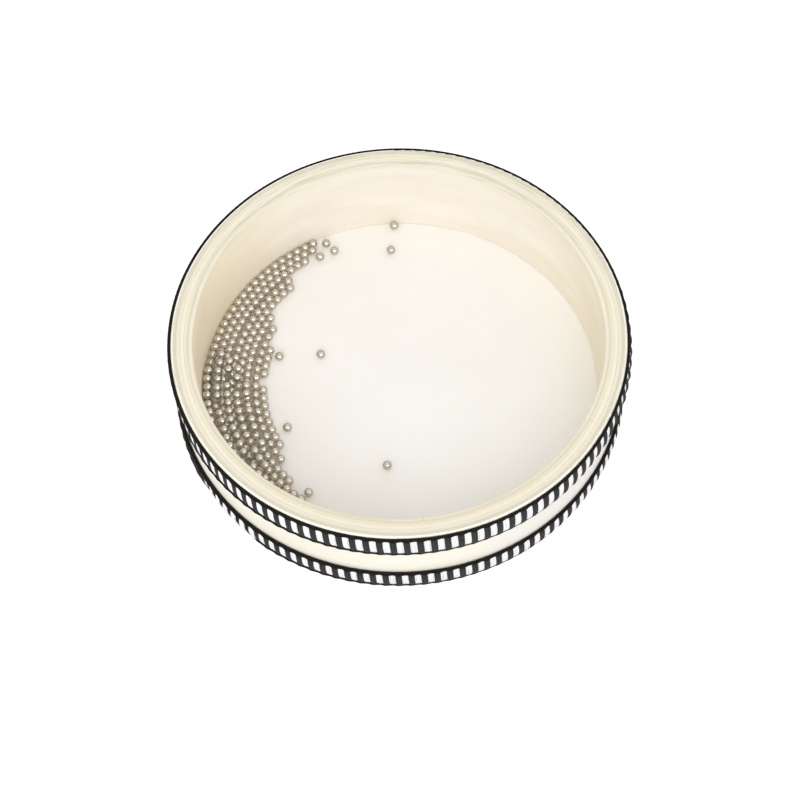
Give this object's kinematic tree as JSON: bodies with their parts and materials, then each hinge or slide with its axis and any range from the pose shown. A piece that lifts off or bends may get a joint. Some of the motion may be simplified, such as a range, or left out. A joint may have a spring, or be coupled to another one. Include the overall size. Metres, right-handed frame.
{
  "type": "ocean drum",
  "caption": "Shallow round ocean drum: laminated wooden hoop with a clear film head and a white film head, woven trims and loose steel beads that roll inside.",
  "frame": {"origin": "centre of the outer face of the white head, on which the drum rests", "axes": "+Z along the axis of the hoop, from the white head to the clear head; -Y towards the viewer of the picture; the bead heap lies towards -X at rest"},
  "size_m": [0.2078, 0.2078, 0.0471],
  "materials": {
    "face_ply": "satin",
    "core_ply": "satin",
    "clear_film": "gloss",
    "white_film": "satin",
    "black_yarn": "matte",
    "white_yarn": "matte",
    "bead_steel": "gloss"
  },
  "bodies": {
    "drum": {"outer_ply": "face_ply", "core_ply_1": "core_ply", "core_ply_2": "core_ply", "core_ply_3": "core_ply", "inner_ply": "face_ply", "clear_head": "clear_film", "white_head": "white_film", "upper_trim_tape": "black_yarn", "upper_trim_white_blocks": "white_yarn", "upper_trim_black_bars": "black_yarn", "lower_trim_tape": "black_yarn", "lower_trim_white_blocks": "white_yarn", "lower_trim_black_bars": "black_yarn"},
    "bead_heap": {"bead_row_1": "bead_steel", "bead_row_2": "bead_steel", "bead_row_3": "bead_steel", "bead_row_4": "bead_steel", "bead_row_5": "bead_steel", "bead_row_6": "bead_steel", "bead_row_7": "bead_steel", "bead_row_8": "bead_steel", "top_bead_row_1": "bead_steel", "top_bead_row_2": "bead_steel", "top_bead_row_3": "bead_steel", "top_bead_row_4": "bead_steel", "top_bead_row_5": "bead_steel"},
    "loose_bead_1": {"loose_bead_1": "bead_steel"},
    "loose_bead_2": {"loose_bead_2": "bead_steel"},
    "loose_bead_3": {"loose_bead_3": "bead_steel"},
    "loose_bead_4": {"loose_bead_4": "bead_steel"},
    "loose_bead_5": {"loose_bead_5": "bead_steel"},
    "loose_bead_6": {"loose_bead_6": "bead_steel"},
    "loose_bead_7": {"loose_bead_7": "bead_steel"},
    "loose_bead_8": {"loose_bead_8": "bead_steel"},
    "loose_bead_9": {"loose_bead_9": "bead_steel"},
    "loose_bead_10": {"loose_bead_10": "bead_steel"}
  },
  "joints": [
    {"name": "heap_swirl", "type": "hinge", "parent": "drum", "child": "bead_heap", "pos_m": [0, 0, 0.0024], "axis": [0, 0, 1], "continuous": true},
    {"name": "bead_1_along_wall", "type": "hinge", "parent": "bead_heap", "child": "loose_bead_1", "pos_m": [0, 0, 0.0024], "axis": [0, 0, 1], "range_deg": [-120, 3]},
    {"name": "bead_2_roll", "type": "slide", "parent": "bead_heap", "child": "loose_bead_2", "axis": [0.6, -0.8, 0], "range_m": [0, 0.125]},
    {"name": "bead_3_along_wall", "type": "hinge", "parent": "bead_heap", "child": "loose_bead_3", "pos_m": [0, 0, 0.0024], "axis": [0, 0, 1], "range_deg": [-12, 0]},
    {"name": "bead_4_roll", "type": "slide", "parent": "bead_heap", "child": "loose_bead_4", "axis": [0.423, -0.9061, 0], "range_m": [0, 0.07]},
    {"name": "bead_5_roll", "type": "slide", "parent": "bead_heap", "child": "loose_bead_5", "axis": [0.3499, -0.9368, 0], "range_m": [0, 0.035]},
    {"name": "bead_6_roll", "type": "slide", "parent": "bead_heap", "child": "loose_bead_6", "axis": [0.6, -0.8, 0], "range_m": [0, 0.03]},
    {"name": "bead_7_roll", "type": "slide", "parent": "bead_heap", "child": "loose_bead_7", "axis": [1, 0, 0], "range_m": [-0.01, 0.11]},
    {"name": "bead_8_roll", "type": "slide", "parent": "bead_heap", "child": "loose_bead_8", "axis": [1, 0, 0], "range_m": [0, 0.1]},
    {"name": "bead_9_roll", "type": "slide", "parent": "bead_heap", "child": "loose_bead_9", "axis": [0.8, -0.6, 0], "range_m": [-0.02, 0.05]},
    {"name": "bead_10_roll", "type": "slide", "parent": "bead_heap", "child": "loose_bead_10", "axis": [0.8, -0.6, 0], "range_m": [0, 0.03]}
  ]
}
